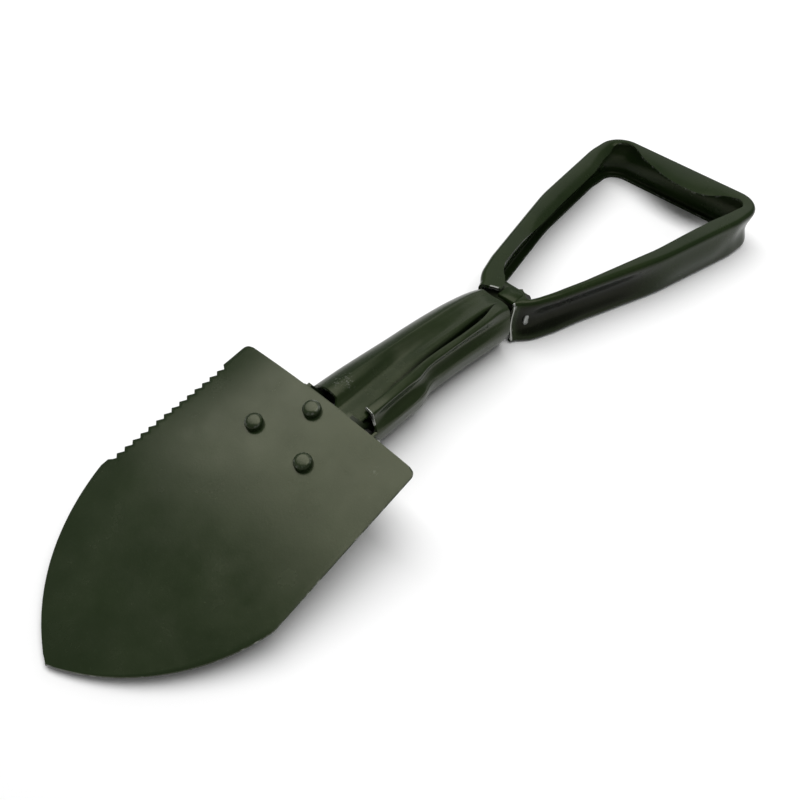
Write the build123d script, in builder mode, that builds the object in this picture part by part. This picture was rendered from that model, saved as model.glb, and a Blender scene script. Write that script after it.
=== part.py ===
"""Small folding camp shovel: serrated round-point blade on a bracket and hinge pin, a rolled
sheet-steel shaft with a sprung lock bar inside it, and a pressed channel D-handle that is pinned
to the lock bar's end.

Frame: +Y runs from the blade's tip to the grip, +Z is up, and the table is at Z = 0. The shovel
lies as it is put down when open: on the flat underside of its handle and on the blade's tip.
The origin is under the middle of its length and width.
"""
import os
from math import asin, atan2, cos, degrees, hypot, pi, radians, sin

from build123d import *

os.makedirs("parts", exist_ok=True)

# ---------------------------------------------------------------- driving dimensions (mm, degrees)
# blade
blade_length = 142.0        # rear edge to tip, along the blade
blade_rear_half = 49.8      # half width at the rear edge
blade_shoulder_half = 52.6  # half width where the straight sides end
blade_straight = 79.0       # length of the straight sides
blade_side_bulge = 9.7      # how far each curved edge stands out from its chord
blade_sheet = 1.8
blade_rear_height = 35.4    # top of the rear edge above the table
blade_cross_radius = 700.0  # arch across the blade
blade_corner = 3.0
tooth_count = 15
tooth_pitch = 4.1
tooth_depth = 2.4
tooth_start = 14.0          # rear edge to the first tooth
tooth_root = 0.35           # where a tooth's root lies, as a share of the pitch
tooth_point_inset = 0.6     # teeth's points inside the plain edge

# blade rivets: one near the rear edge and two further down
rivet_near = 7.0
rivet_far = 26.0
rivet_half_spread = 14.6
rivet_shank_radius = 2.5
rivet_head_radius = 4.6
rivet_head_height = 3.6
rivet_tail_radius = 3.8
rivet_tail_height = 1.4
rivet_seat = 0.15           # rivet ends clear the arched sheets by this much
rivet_edge_round = 0.7

# hinge at the blade
hinge_setback = 8.0         # pin behind the blade's rear edge
hinge_height = 14.5
hinge_pin_radius = 3.0
running_gap = 0.05          # radial, pins and turning holes
side_gap = 0.3              # beside parts that turn
bracket_sheet = 2.0
bracket_far_half = 22.0
bracket_near_half = 15.0
bracket_reach = 33.0
bracket_corner = 4.0
bracket_overhang = 1.0      # bracket's rear end behind the blade's rear edge
cheek_sink = 0.8            # how deep the cheeks are set into the bracket's plate
cheek_inner_half = 10.8
cheek_eye_radius = 7.5
cheek_foot_rear = -2.4      # foot of the cheeks along the blade, from the rear edge
cheek_foot_front = 9.0
cheek_tangents = (24.0, 122.0)   # where the cheek's sides meet its round eye
hub_radius = 5.0
cam_radius = 10.0
cam_half_width = 3.0
cam_notch_depth = 2.6
spacer_thickness = 2.4
pin_head_radius = 4.0
pin_head_height = 1.2
fold_angle = 165.0          # blade folded under the shaft
hoe_angle = 90.0            # blade square to the shaft

# shaft
shaft_sheet = 1.6
shaft_front_setback = 8.0   # left lobe's end behind the blade's rear edge
shaft_right_setback = 13.0  # right lobe's end behind the blade's rear edge
shaft_lip = 109.0           # shaft's upper lip behind the blade's rear edge
ear_radius = 7.5
seam_start = 28.0
seam_end = 102.0
seam_x = 6.0
seam_width = 1.0
bottom_slot_half = 14.2
bottom_slot_length = 22.0

# lock bar, its nose, spring and guides
bar_half_width = 2.5
bar_height = 10.0
nose_half_width = 4.5
nose_gap = 0.35             # nose to cam when the bar is at rest
nose_length = 15.0
tooth_half_height = 2.3
lock_travel = 2.2           # from rest into the notch
guide_thickness = 3.0
front_guide_place = 45.0    # behind the blade's rear edge
rear_guide_place = 91.0
guide_gap = 0.15
bar_gap = 0.3
spring_wire = 1.5
spring_mean_radius = 7.2
spring_turns = 7
collar_place = 56.0
collar_thickness = 5.0
small_pin_radius = 1.5
yoke_half_width = 8.0
yoke_radius = 9.0
yoke_neck_half = 6.0
yoke_length = 22.0          # pin to the yoke's front end
yoke_slot = 12.0
yoke_rivet_proud = 0.6

# handle
handle_pin_setback = 120.0  # handle pin behind the blade's rear edge
handle_reach = 150.0        # handle pin to the grip's outer face
handle_height = 24.0
handle_sheet = 1.6
handle_nose = 9.6           # pin to the front ends of the legs
neck_half = 11.0
shoulder_run = 17.0
shoulder_half = 25.0
grip_half = 49.5
leg_run = 108.0             # pin to where the legs turn into the grip's corners
grip_corner = 15.0
edge_round = 2.4
throat_half = 12.5
leg_inner_half = 41.0       # half opening at the end of the legs
corner_lip = 7.0            # flange width in the grip's corners
corner_lip_bevel = 4.0
corner_lip_run = 8.0        # how far the narrow flange runs along the grip
grip_flange = 16.5          # flange width in the middle of the grip
grip_flange_half = 18.5     # half length of that widest stretch
shoulder_round = 20.0       # bends of the legs beside the pin and at the grip
leg_end_round = 30.0
neck_run = 5.0              # straight neck at the legs' front ends
neck_flare = 1.4
tab_length = 7.5
left_tab_length = 18.6      # the left leg's top flange starts this far behind the pin's front end
tab_inset = 2.0
tab_seam = 0.5
handle_pin_radius = 3.0
handle_head_radius = 4.2
handle_head_height = 1.4
cup_radius = 8.6            # pressed seat around the pin
cup_inner_half = 11.0
washer_radius = 4.6
swing_gap = 0.8             # handle's front ends to the shaft's mouth

# ---------------------------------------------------------------- places worked out from them
X_AXIS = (1, 0, 0)
clear_of_all = 60.0         # cuts and trims reach this far past what they cut
above_blade = 20.0          # cuts through the blade start this far above it
sheet_hypot = hypot(blade_length, blade_sheet)
tilt = degrees(asin(blade_rear_height / sheet_hypot) - atan2(blade_sheet, blade_length))
blade_reach = blade_length * cos(radians(tilt))
rear_y = (blade_reach - handle_pin_setback - handle_reach) / 2
hinge_y = rear_y + hinge_setback
pin_y = rear_y + handle_pin_setback
pin_z = handle_height / 2
grip_y = pin_y + handle_reach
nose_y = pin_y - handle_nose
nose_front_y = hinge_y + cam_radius + nose_gap
nose_back_y = nose_front_y + nose_length
cheek_outer_half = cheek_inner_half + bracket_sheet
spacer_inner = cheek_outer_half + side_gap
spring_start = rear_y + collar_place + collar_thickness
spring_end = rear_y + rear_guide_place
mouth_radius = hypot(handle_nose, pin_z) + swing_gap

# shaft sections: distance behind the rear edge, centre x, centre z, half width, half height, corner
shaft_sections = (
    (0.0, 0.0, 16.6, 18.6, 14.2, 11.5),
    (18.0, 0.0, 16.5, 18.5, 14.2, 11.5),
    (42.0, -1.2, 15.9, 16.9, 14.0, 12.0),
    (62.0, -2.6, 15.0, 14.9, 13.6, 12.2),
    (84.0, -1.2, 14.2, 13.9, 13.4, 12.4),
    (shaft_lip, 0.0, 13.7, 13.5, 13.3, 12.4),
)
ear_outer_half = shaft_sections[0][3] + guide_gap
mouth_lip_gap = 1.2
nose_tooth_length = 5.0
small_pin_spots = (
    (nose_back_y - nose_length / 4, pin_z),
    (rear_y + collar_place + collar_thickness / 2, pin_z),
    (pin_y - yoke_length + yoke_slot / 4, pin_z),
    (pin_y - yoke_length + yoke_slot * 3 / 4, pin_z),
)


def blade_point(along, above):
    """(y, z) of a point given along the blade from its rear edge, and above its chord plane."""
    slope = radians(tilt)
    y = rear_y - along * cos(slope) - above * sin(slope)
    z = blade_rear_height - along * sin(slope) + above * cos(slope)
    return y, z


def blade_plane(along=0.0, above=0.0):
    """Plane in the blade: local X to the right, local Y from tip to rear, local Z out of its back."""
    y, z = blade_point(along, above)
    slope = radians(tilt)
    return Plane(origin=(0, y, z), x_dir=X_AXIS, z_dir=(0, -sin(slope), cos(slope)))


def in_blade(y, z):
    """(along, above) of a point given as y and z: the inverse of blade_point."""
    slope = radians(tilt)
    back, up = rear_y - y, z - blade_rear_height
    return back * cos(slope) - up * sin(slope), back * sin(slope) + up * cos(slope)


def arch_drop(x):
    """How far the arched blade lies below its centre line at a distance x from it."""
    return blade_cross_radius - (blade_cross_radius**2 - x**2) ** 0.5


def side_plane(x=0.0):
    """Plane across X, with local X along the shovel and local Y up."""
    return Plane(origin=(x, 0, 0), x_dir=(0, 1, 0), z_dir=X_AXIS)


def shaft_plane(back, x, z):
    """Section plane of the shaft at a distance behind the rear edge."""
    return Plane(origin=(x, rear_y + back, z), x_dir=X_AXIS, z_dir=(0, -1, 0))


def band_arc(radius, centre, reach):
    """Shallow arc about (0, centre), from -reach to +reach."""
    end_height = centre + (radius**2 - reach**2) ** 0.5
    return ThreePointArc((-reach, end_height), (0, centre + radius), (reach, end_height))


def arched_sheet(depth_top, depth_bottom):
    """Sheet arched across the blade, between two depths below its back, longer than the blade."""
    overrun = above_blade
    start_y, start_z = blade_point(-overrun, 0)
    slope = radians(tilt)
    start = Plane(origin=(0, start_y, start_z), x_dir=X_AXIS, z_dir=(0, -cos(slope), -sin(slope)))
    reach = blade_shoulder_half + above_blade
    with BuildSketch(start) as band:
        with BuildLine():
            top = band_arc(blade_cross_radius - depth_top, -blade_cross_radius, reach)
            bottom = band_arc(blade_cross_radius - depth_bottom, -blade_cross_radius, reach)
            Line(top @ 0, bottom @ 0)
            Line(top @ 1, bottom @ 1)
        make_face()
    extrude(band.sketch, amount=blade_length + 2 * overrun)


def blade_rivet_spots():
    """The three rivet places as (x, along)."""
    return ((0, rivet_near), (rivet_half_spread, rivet_far), (-rivet_half_spread, rivet_far))


# ---------------------------------------------------------------- blade
def is_rivet_top(face):
    """True for the flat top of a rivet's head, which looks along the blade's normal."""
    along_normal = face.normal_at().dot(blade_plane().z_dir) > cos(radians(1))
    return along_normal and face.area > pi * (rivet_head_radius**2 + rivet_tail_radius**2) / 2


def curved_edge(side):
    """End points and middle point of one curved edge: side is 1 for right and -1 for left."""
    run_x = blade_shoulder_half
    run_y = blade_length - blade_straight
    chord = hypot(run_x, run_y)
    middle_x = run_x / 2 + blade_side_bulge * run_y / chord
    middle_y = -blade_straight - run_y / 2 - blade_side_bulge * run_x / chord
    return (side * run_x, -blade_straight), (side * middle_x, middle_y), (0, -blade_length)


def serrated_side():
    """Corner points of the left side from the rear corner to the shoulder, teeth included."""
    lean = (blade_shoulder_half - blade_rear_half) / blade_straight
    points = [(-blade_rear_half, 0), (-blade_rear_half - lean * tooth_start, -tooth_start)]
    for tooth in range(tooth_count):
        along = tooth_start + tooth * tooth_pitch
        edge = -blade_rear_half - lean * along
        points.append((edge + tooth_depth, -along - tooth_root * tooth_pitch))
        points.append((edge + tooth_point_inset, -along - tooth_pitch))
    points.append((-blade_shoulder_half, -blade_straight))
    return points


with BuildPart() as blade:
    arched_sheet(0, blade_sheet)
    with BuildSketch(blade_plane(above=above_blade)) as outline:
        with BuildLine():
            Polyline((-blade_rear_half, 0), (blade_rear_half, 0), curved_edge(1)[0])
            ThreePointArc(*curved_edge(1))
            ThreePointArc(*curved_edge(-1))
            Polyline(*serrated_side())
        make_face()
        fillet(outline.vertices().group_by(Axis.Y)[-1], radius=blade_corner)
        fillet(outline.vertices().sort_by(Axis.Y)[0], radius=blade_corner)
    extrude(amount=-clear_of_all, mode=Mode.INTERSECT)
    with BuildSketch(blade_plane(above=above_blade)):
        with Locations(*[(x, -along) for x, along in blade_rivet_spots()]):
            Circle(rivet_shank_radius)
    extrude(amount=-clear_of_all, mode=Mode.SUBTRACT)


def round_bar(x, along, bottom, top, radius):
    """Round bar along the blade's normal between two heights."""
    with BuildSketch(blade_plane(along, bottom)) as end:
        with Locations((x, 0)):
            Circle(radius)
    extrude(end.sketch, amount=top - bottom)


with BuildPart() as blade_rivets:
    for rivet_x, along in blade_rivet_spots():
        head_seat = rivet_seat - arch_drop(max(abs(rivet_x) - rivet_head_radius, 0))
        tail_seat = -blade_sheet - bracket_sheet - arch_drop(abs(rivet_x) + rivet_tail_radius)
        head_top = head_seat + rivet_head_height
        tail_end = tail_seat - rivet_seat - rivet_tail_height
        round_bar(rivet_x, along, tail_end, head_top, rivet_shank_radius)
        round_bar(rivet_x, along, head_seat, head_top, rivet_head_radius)
        round_bar(rivet_x, along, tail_end, tail_seat - rivet_seat, rivet_tail_radius)
    rims = blade_rivets.faces().filter_by(GeomType.PLANE).filter_by(is_rivet_top).edges()
    fillet(rims, radius=rivet_edge_round)


# ---------------------------------------------------------------- hinge at the blade
def cheek_outline():
    """Side outline of a bracket cheek as points along and above, without its round eye."""
    eye_along, eye_above = in_blade(hinge_y, hinge_height)
    foot = -blade_sheet - cheek_sink
    outline = [(cheek_foot_rear, foot), (cheek_foot_front, foot)]
    for turned in cheek_tangents:
        along = eye_along + cheek_eye_radius * cos(radians(turned))
        outline.append((along, eye_above + cheek_eye_radius * sin(radians(turned))))
    return outline


with BuildPart() as hinge_bracket:
    arched_sheet(blade_sheet, blade_sheet + bracket_sheet)
    with BuildSketch(blade_plane(above=above_blade)) as plate:
        with BuildLine():
            Polyline(
                (-bracket_near_half, bracket_overhang),
                (bracket_near_half, bracket_overhang),
                (bracket_far_half, rivet_shank_radius - rivet_far),
                (bracket_far_half, -bracket_reach),
                (-bracket_far_half, -bracket_reach),
                (-bracket_far_half, rivet_shank_radius - rivet_far),
                close=True,
            )
        make_face()
        fillet(plate.vertices(), radius=bracket_corner)
    extrude(amount=-clear_of_all, mode=Mode.INTERSECT)
    for side in (1, -1):
        with BuildSketch(side_plane(side * cheek_inner_half)):
            with BuildLine():
                Polyline(*[blade_point(*point) for point in cheek_outline()], close=True)
            make_face()
            with Locations((hinge_y, hinge_height)):
                Circle(cheek_eye_radius)
        extrude(amount=side * bracket_sheet)
    with BuildSketch(side_plane()):
        with Locations((hinge_y, hinge_height)):
            Circle(hub_radius)
    extrude(amount=clear_of_all, both=True, mode=Mode.SUBTRACT)
    with BuildSketch(blade_plane(above=above_blade)):
        with Locations(*[(x, -along) for x, along in blade_rivet_spots()]):
            Circle(rivet_shank_radius)
    extrude(amount=-clear_of_all, mode=Mode.SUBTRACT)

with BuildPart() as lock_cam:
    with BuildSketch(side_plane()):
        with Locations((hinge_y, hinge_height)):
            Circle(cam_radius)
    extrude(amount=cam_half_width, both=True)
    with BuildSketch(side_plane()):
        with Locations((hinge_y, hinge_height)):
            Circle(hub_radius)
    extrude(amount=cheek_outer_half, both=True)
    for turned in (0, hoe_angle, fold_angle):
        notch = Plane(
            origin=(0, hinge_y, hinge_height),
            x_dir=(0, cos(radians(turned)), -sin(radians(turned))),
            z_dir=X_AXIS,
        )
        with BuildSketch(notch):
            with Locations((cam_radius, 0)):
                Rectangle(2 * cam_notch_depth, 2 * (tooth_half_height + bar_gap))
        extrude(amount=clear_of_all, both=True, mode=Mode.SUBTRACT)
    with BuildSketch(side_plane()):
        with Locations((hinge_y, hinge_height)):
            Circle(hinge_pin_radius + running_gap)
    extrude(amount=clear_of_all, both=True, mode=Mode.SUBTRACT)

with BuildPart() as hinge_pin:
    with BuildSketch(side_plane()):
        with Locations((hinge_y, hinge_height)):
            Circle(hinge_pin_radius)
    extrude(amount=ear_outer_half, both=True)
    for side in (1, -1):
        with BuildSketch(side_plane(side * ear_outer_half)):
            with Locations((hinge_y, hinge_height)):
                Circle(pin_head_radius)
        extrude(amount=side * pin_head_height)

with BuildPart() as hinge_spacers:
    for side in (1, -1):
        with BuildSketch(side_plane(side * spacer_inner)):
            with Locations((hinge_y, hinge_height)):
                Circle(hub_radius)
                Circle(hinge_pin_radius + running_gap, mode=Mode.SUBTRACT)
        extrude(amount=side * spacer_thickness)


# ---------------------------------------------------------------- shaft
def shaft_body(inset, mode=Mode.ADD):
    """Loft through the shaft's sections, drawn in by an inset."""
    sections = []
    for back, centre_x, centre_z, half_width, half_height, corner in shaft_sections:
        with BuildSketch(shaft_plane(back, centre_x, centre_z)) as section:
            RectangleRounded(
                2 * (half_width - inset), 2 * (half_height - inset), corner - inset
            )
        sections.append(section.sketch)
    loft(sections, mode=mode)


with BuildPart() as shaft_tube:
    shaft_body(0)
    shaft_body(shaft_sheet, Mode.SUBTRACT)
    # front end: the ears that hold the pin stand forward of the two lobes
    with BuildSketch(side_plane()):
        with Locations((hinge_y - clear_of_all / 2, 0)):
            Rectangle(clear_of_all, 2 * clear_of_all)
        with Locations((hinge_y, hinge_height)):
            Circle(ear_radius, mode=Mode.SUBTRACT)
    extrude(amount=clear_of_all, both=True, mode=Mode.SUBTRACT)
    with BuildSketch(side_plane()):
        with Locations((rear_y, hinge_height + ear_radius)):
            Rectangle(2 * shaft_right_setback, clear_of_all, align=(Align.CENTER, Align.MIN))
    extrude(amount=clear_of_all, mode=Mode.SUBTRACT)
    # open underneath at the front, where the bracket turns down
    with BuildSketch(side_plane()):
        with Locations((rear_y, hinge_height)):
            Rectangle(2 * bottom_slot_length, 2 * clear_of_all, align=(Align.CENTER, Align.MAX))
    extrude(amount=bottom_slot_half, both=True, mode=Mode.SUBTRACT)
    # handle end: cut back round the handle pin, under an upper lip
    with BuildSketch(side_plane()) as mouth:
        with Locations((pin_y, pin_z)):
            Circle(mouth_radius)
        with Locations((nose_y - lock_travel - side_gap, pin_z)):
            Rectangle(mouth_radius, 2 * clear_of_all, align=(Align.MIN, Align.CENTER))
        with Locations((pin_y, handle_height + mouth_lip_gap)):
            Rectangle(4 * mouth_radius, clear_of_all, align=(Align.CENTER, Align.MIN), mode=Mode.SUBTRACT)
    extrude(amount=clear_of_all, both=True, mode=Mode.SUBTRACT)
    # rolled seam along the top
    with BuildSketch(Plane.XY.offset(shaft_sections[0][2])):
        with Locations((seam_x, rear_y + seam_start)):
            Rectangle(seam_width, seam_end - seam_start, align=(Align.CENTER, Align.MIN))
    extrude(amount=clear_of_all, mode=Mode.SUBTRACT)
    # pin holes
    with BuildSketch(side_plane()):
        with Locations((hinge_y, hinge_height)):
            Circle(hinge_pin_radius)
    extrude(amount=clear_of_all, both=True, mode=Mode.SUBTRACT)


def guide_plate(back):
    """Plate across the shaft's inside with a slot for the lock bar."""
    shaft_body(shaft_sheet + guide_gap)
    with BuildSketch(shaft_plane(back, 0, 0)) as slab:
        Rectangle(2 * clear_of_all, 2 * clear_of_all)
        with Locations((0, pin_z)):
            Rectangle(
                2 * (bar_half_width + bar_gap), bar_height + 2 * bar_gap, mode=Mode.SUBTRACT
            )
    extrude(slab.sketch, amount=-guide_thickness, mode=Mode.INTERSECT)


with BuildPart() as front_guide:
    guide_plate(front_guide_place)

with BuildPart() as rear_guide:
    guide_plate(rear_guide_place)

# ---------------------------------------------------------------- lock bar and its pieces
with BuildPart() as lock_bar:
    with BuildSketch(side_plane()):
        with Locations((nose_front_y + nose_length / 2, pin_z)):
            Rectangle(
                pin_y - yoke_length + yoke_slot - nose_front_y - nose_length / 2,
                bar_height,
                align=(Align.MIN, Align.CENTER),
            )
        with Locations(*small_pin_spots):
            Circle(small_pin_radius, mode=Mode.SUBTRACT)
    extrude(amount=bar_half_width, both=True)

with BuildPart() as lock_nose:
    with BuildSketch(side_plane()):
        with Locations((nose_front_y + nose_tooth_length, pin_z)):
            Rectangle(nose_length - nose_tooth_length, bar_height, align=(Align.MIN, Align.CENTER))
    extrude(amount=nose_half_width, both=True)
    with BuildSketch(side_plane()):
        with Locations((nose_front_y, hinge_height)):
            Rectangle(nose_length, 2 * tooth_half_height, align=(Align.MIN, Align.CENTER))
    extrude(amount=cam_half_width, both=True)
    with BuildSketch(side_plane()):
        with Locations((nose_front_y + nose_length / 2, pin_z)):
            Rectangle(clear_of_all, bar_height, align=(Align.MIN, Align.CENTER))
    extrude(amount=bar_half_width, both=True, mode=Mode.SUBTRACT)
    with BuildSketch(side_plane()):
        with Locations(small_pin_spots[0]):
            Circle(small_pin_radius)
    extrude(amount=clear_of_all, both=True, mode=Mode.SUBTRACT)

with BuildPart() as nose_rivet:
    with BuildSketch(side_plane()):
        with Locations(small_pin_spots[0]):
            Circle(small_pin_radius)
    extrude(amount=nose_half_width, both=True)

with BuildPart() as spring_collar:
    with BuildSketch(shaft_plane(collar_place, 0, pin_z)):
        Circle(spring_mean_radius + spring_wire / 2 + guide_gap)
        Rectangle(2 * bar_half_width, bar_height, mode=Mode.SUBTRACT)
    extrude(amount=-collar_thickness)
    with BuildSketch(side_plane()):
        with Locations(small_pin_spots[1]):
            Circle(small_pin_radius)
    extrude(amount=clear_of_all, both=True, mode=Mode.SUBTRACT)

with BuildPart() as collar_pin:
    with BuildSketch(side_plane()):
        with Locations(small_pin_spots[1]):
            Circle(small_pin_radius)
    extrude(amount=spring_mean_radius, both=True)

with BuildPart() as lock_spring:
    active = spring_end - spring_start - spring_wire - 2 * guide_gap
    coil_plane = Plane(
        origin=(0, spring_start + spring_wire / 2 + guide_gap, pin_z),
        x_dir=(1, 0, 0),
        z_dir=(0, 1, 0),
    )
    coil = Helix(pitch=active / spring_turns, height=active, radius=spring_mean_radius)
    path = coil_plane.location * coil
    with BuildSketch(Plane(origin=path @ 0, z_dir=path % 0)):
        Circle(spring_wire / 2)
    sweep(path=path, is_frenet=True)

with BuildPart() as bar_yoke:
    with BuildSketch(side_plane()):
        with Locations((pin_y, pin_z)):
            Circle(yoke_radius)
            Rectangle(yoke_length, 2 * yoke_neck_half, align=(Align.MAX, Align.CENTER))
            Circle(handle_pin_radius + running_gap, mode=Mode.SUBTRACT)
        with Locations(*small_pin_spots[2:]):
            Circle(small_pin_radius, mode=Mode.SUBTRACT)
    extrude(amount=yoke_half_width, both=True)
    with BuildSketch(side_plane()):
        with Locations((pin_y - yoke_length, pin_z)):
            Rectangle(yoke_slot, bar_height, align=(Align.MIN, Align.CENTER))
    extrude(amount=bar_half_width, both=True, mode=Mode.SUBTRACT)

with BuildPart() as yoke_rivets:
    with BuildSketch(side_plane()):
        with Locations(*small_pin_spots[2:]):
            Circle(small_pin_radius)
    extrude(amount=yoke_half_width + yoke_rivet_proud, both=True)


# ---------------------------------------------------------------- handle
def handle_outline(inset):
    """Half outline of the handle's outer face, from the neck to the grip, drawn in by an inset."""
    return (
        (0, nose_y),
        (neck_half - inset, nose_y),
        (neck_half + neck_flare - inset, nose_y + neck_run),
        (shoulder_half - inset, pin_y + shoulder_run),
        (grip_half - inset, pin_y + leg_run),
        (grip_half - inset, grip_y - inset),
        (0, grip_y - inset),
    )


def handle_shape(inset, height):
    """Closed, rounded outline of the handle as a sketch at a height above the table."""
    with BuildSketch(Plane.XY.offset(height)) as shape:
        with BuildLine():
            Polyline(*handle_outline(inset))
            mirror(about=Plane.YZ)
        make_face()
        corners = shape.vertices().group_by(Axis.Y)
        fillet(corners[-1], radius=grip_corner - inset)
        for run, bend_radius in ((shoulder_run, shoulder_round), (leg_run, leg_end_round)):
            bends = shape.vertices().filter_by_position(Axis.Y, pin_y + run - 1, pin_y + run + 1)
            fillet(bends, radius=bend_radius)
    return shape.sketch


def handle_opening(top):
    """Opening inside the handle's flanges; the upper one is closed by tabs near the pin."""
    lip = grip_y - corner_lip
    right = [
        (throat_half, nose_y + neck_run),
        (leg_inner_half, pin_y + leg_run),
        (leg_inner_half + corner_lip_bevel / 2, lip - corner_lip_bevel),
        (leg_inner_half + corner_lip_bevel / 2 - corner_lip_run, lip),
        (grip_flange_half, grip_y - grip_flange),
    ]
    left = [(-x, y) for x, y in reversed(right)]
    if not top:
        front = nose_y - neck_run
        return [(throat_half, front)] + right + left + [(-throat_half, front)]
    left[-1] = (-throat_half, nose_y + left_tab_length)
    tab_end = nose_y + tab_length
    return [(0, tab_end), (neck_half - tab_inset, tab_end)] + right + left


def pressed_seat(reach):
    """Round of the pressed seat about the handle pin, on one side, out to a distance from X = 0."""
    seats = []
    for side in (1, -1):
        with BuildSketch(side_plane(side * cup_inner_half)) as seat:
            with Locations((pin_y, pin_z)):
                Circle(cup_radius)
        seats.append(extrude(seat.sketch, amount=side * reach, mode=Mode.PRIVATE))
    return seats


with BuildPart() as handle_frame:
    extrude(handle_shape(0, 0), amount=handle_height)
    outer_edges = handle_frame.faces().filter_by(Axis.Z).edges()
    fillet(outer_edges.sort_by(Axis.Y)[2:], radius=edge_round)
    solid_handle = handle_frame.part
    extrude(
        handle_shape(handle_sheet, handle_sheet),
        amount=handle_height - 2 * handle_sheet,
        mode=Mode.SUBTRACT,
    )
    # pressed seats for the pin: the sheet dips inwards round it
    for seat in pressed_seat(clear_of_all):
        add(seat & solid_handle)
    for side in (1, -1):
        with BuildSketch(side_plane(side * (cup_inner_half + handle_sheet))):
            with Locations((pin_y, pin_z)):
                Circle(cup_radius - handle_sheet)
        extrude(amount=side * clear_of_all, mode=Mode.SUBTRACT)
    # the front ends are open, with two tabs across the top
    with BuildSketch(Plane.XY.offset(handle_sheet)):
        with Locations((0, nose_y)):
            Rectangle(2 * (neck_half - handle_sheet), 2 * tab_length)
    extrude(amount=handle_height - 2 * handle_sheet, mode=Mode.SUBTRACT)
    for top in (False, True):
        with BuildSketch(Plane.XY.offset(handle_height - handle_sheet if top else 0)):
            with BuildLine():
                Polyline(*handle_opening(top), close=True)
            make_face()
        extrude(amount=handle_sheet, mode=Mode.SUBTRACT)
    with BuildSketch(Plane.XY.offset(handle_height / 2)):
        with Locations((0, nose_y)):
            Rectangle(tab_seam, 4 * tab_length)
    extrude(amount=handle_height, mode=Mode.SUBTRACT)
    with BuildSketch(side_plane()):
        with Locations((pin_y, pin_z)):
            Circle(handle_pin_radius)
    extrude(amount=clear_of_all, both=True, mode=Mode.SUBTRACT)

with BuildPart() as handle_pin:
    with BuildSketch(side_plane()):
        with Locations((pin_y, pin_z)):
            Circle(handle_pin_radius)
    extrude(amount=cup_inner_half + handle_sheet, both=True)
    for side in (1, -1):
        with BuildSketch(side_plane(side * (cup_inner_half + handle_sheet))):
            with Locations((pin_y, pin_z)):
                Circle(handle_head_radius)
        extrude(amount=side * handle_head_height)

with BuildPart() as handle_washers:
    for side in (1, -1):
        with BuildSketch(side_plane(side * (yoke_half_width + side_gap))):
            with Locations((pin_y, pin_z)):
                Circle(washer_radius)
                Circle(handle_pin_radius + running_gap, mode=Mode.SUBTRACT)
        extrude(amount=side * (cup_inner_half - yoke_half_width - 2 * side_gap))

# ---------------------------------------------------------------- every piece to its own file
pieces = {
    "blade": blade,
    "blade_rivets": blade_rivets,
    "hinge_bracket": hinge_bracket,
    "lock_cam": lock_cam,
    "hinge_pin": hinge_pin,
    "hinge_spacers": hinge_spacers,
    "shaft_tube": shaft_tube,
    "front_guide": front_guide,
    "rear_guide": rear_guide,
    "lock_bar": lock_bar,
    "lock_nose": lock_nose,
    "nose_rivet": nose_rivet,
    "spring_collar": spring_collar,
    "collar_pin": collar_pin,
    "lock_spring": lock_spring,
    "bar_yoke": bar_yoke,
    "yoke_rivets": yoke_rivets,
    "handle_frame": handle_frame,
    "handle_pin": handle_pin,
    "handle_washers": handle_washers,
}
for name, piece in pieces.items():
    piece.part.label = name
    export_step(piece.part, f"parts/{name}.step")
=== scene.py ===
# Looks of a small folding camp shovel around its CAD frame. Meshes are worked out in millimetres
# in the row frame (+Y from tip to grip, +Z up, table at Z = 0) and made in metres.
from math import atan2, cos, hypot, pi, radians, sin, sqrt

import bmesh
import bpy
import numpy as np
from mathutils import Matrix, Vector
from mathutils.geometry import tessellate_polygon


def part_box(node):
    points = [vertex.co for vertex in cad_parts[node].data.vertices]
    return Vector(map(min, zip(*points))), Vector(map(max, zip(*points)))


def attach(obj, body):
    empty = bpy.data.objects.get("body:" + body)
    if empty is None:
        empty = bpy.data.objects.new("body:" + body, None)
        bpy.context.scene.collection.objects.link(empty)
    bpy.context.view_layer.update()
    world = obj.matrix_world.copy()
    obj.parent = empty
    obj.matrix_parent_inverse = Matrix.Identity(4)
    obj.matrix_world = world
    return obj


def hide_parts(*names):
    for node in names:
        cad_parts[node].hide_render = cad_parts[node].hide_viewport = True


MM = 0.001

# Each point of a painted mesh has a value for wear and painted shade. Paint is sound at 0, chips
# from 0.5 and is bare steel from 1.1, fully at 1.6. Below -0.05 it is darkened by painted shade, fully
# at -0.9.
BARE = 3.0

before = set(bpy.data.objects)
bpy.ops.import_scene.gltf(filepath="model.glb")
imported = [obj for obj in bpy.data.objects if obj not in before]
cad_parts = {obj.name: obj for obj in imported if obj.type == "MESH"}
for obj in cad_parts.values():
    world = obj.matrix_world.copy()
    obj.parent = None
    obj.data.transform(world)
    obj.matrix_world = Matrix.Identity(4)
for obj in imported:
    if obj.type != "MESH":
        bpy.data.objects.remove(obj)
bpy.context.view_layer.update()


def box_mm(node):
    """Lowest and highest corner of a CAD node, in millimetres."""
    low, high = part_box(node)
    return np.array(low) / MM, np.array(high) / MM


# ------------------------------------------------------------------ places read from the frame
blade_low, blade_high = box_mm("blade")
hinge_low, hinge_high = box_mm("hinge_pin")
grip_pin_low, grip_pin_high = box_mm("handle_pin")
handle_low, handle_high = box_mm("handle_frame")
HINGE_Y, HINGE_Z = (hinge_low[1:] + hinge_high[1:]) / 2
PIN_Y, PIN_Z = (grip_pin_low[1:] + grip_pin_high[1:]) / 2
NOSE_Y, GRIP_Y = handle_low[1], handle_high[1]
HANDLE_HEIGHT = handle_high[2]
GRIP_HALF = handle_high[0]

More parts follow.
